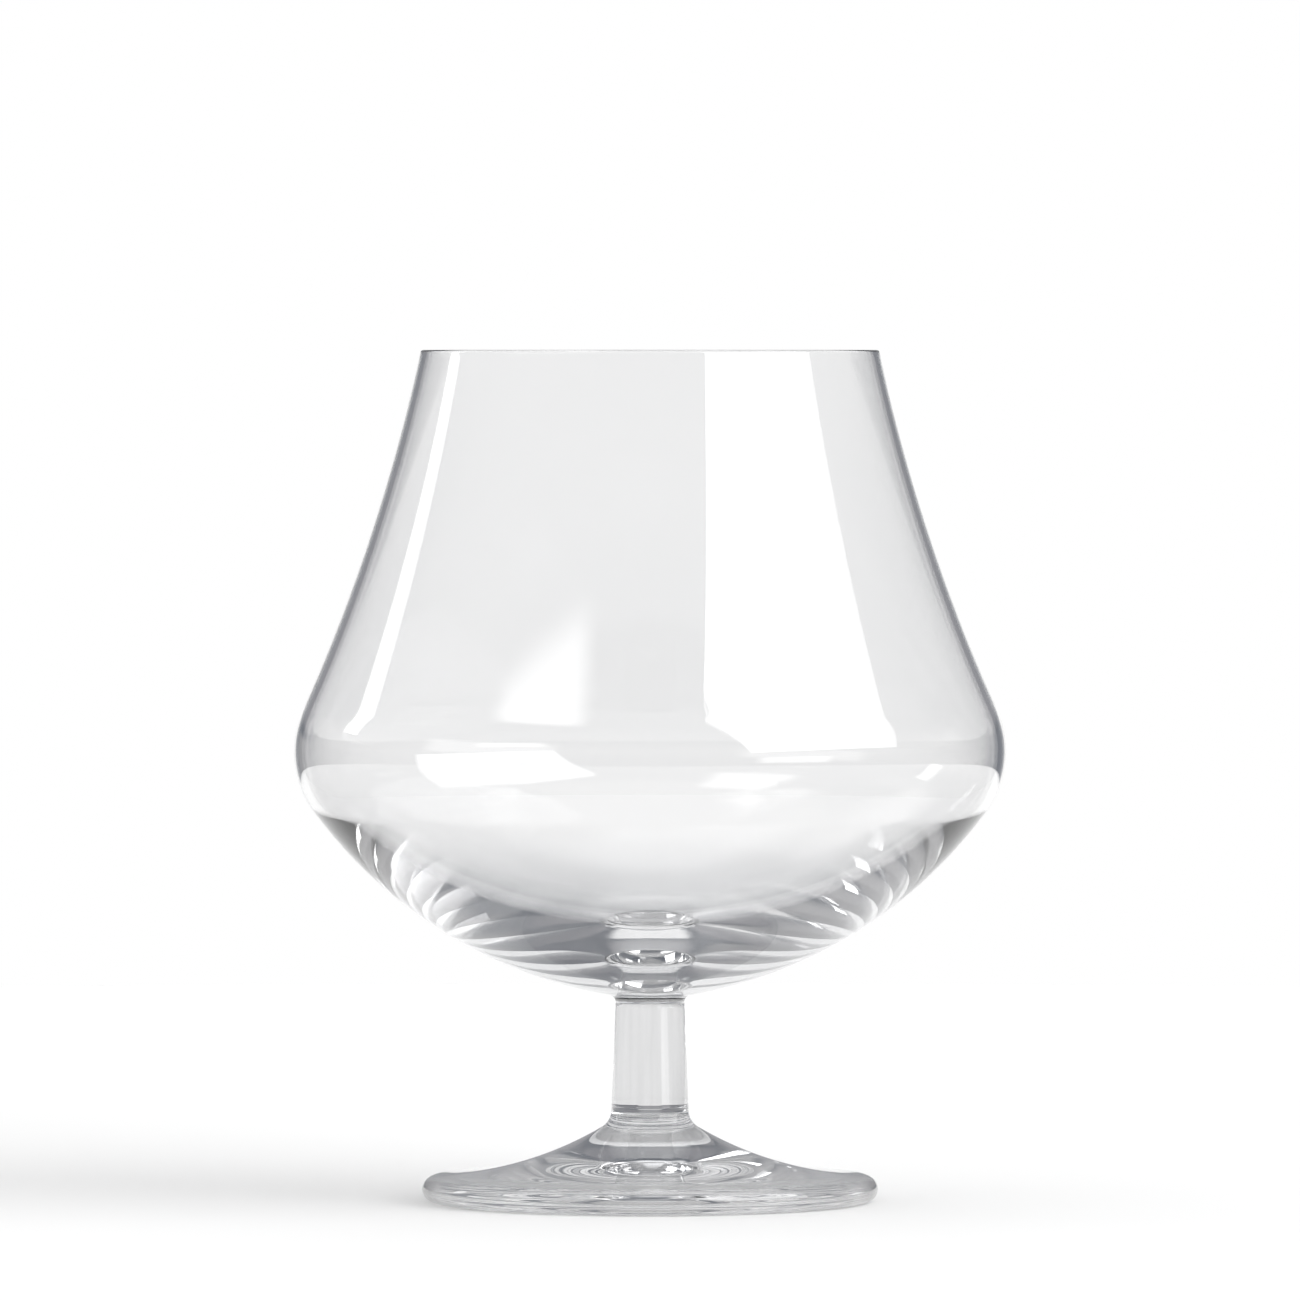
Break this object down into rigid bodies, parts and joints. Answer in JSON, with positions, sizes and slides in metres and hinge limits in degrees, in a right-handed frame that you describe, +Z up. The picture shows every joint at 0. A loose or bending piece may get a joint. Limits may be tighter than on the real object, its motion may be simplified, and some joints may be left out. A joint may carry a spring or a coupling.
{
  "type": "brandy snifter",
  "caption": "Clear stemmed drinking glass with a wide low-bellied bowl that narrows to the rim, a short solid stem and a domed round foot.",
  "frame": {"origin": "on the surface that the glass stands on, under the middle of the foot", "axes": "+Z up along the glass's axis of revolution, through foot, stem and bowl; the glass is round, so +X and +Y point any way across it"},
  "size_m": [0.1002, 0.1002, 0.12],
  "materials": {
    "clear_glass": "clear colourless glass, blown, drawn and pressed, fire-polished all over"
  },
  "bodies": {
    "root": {"bowl": "clear_glass", "stem": "clear_glass", "foot": "clear_glass"}
  },
  "joints": []
}
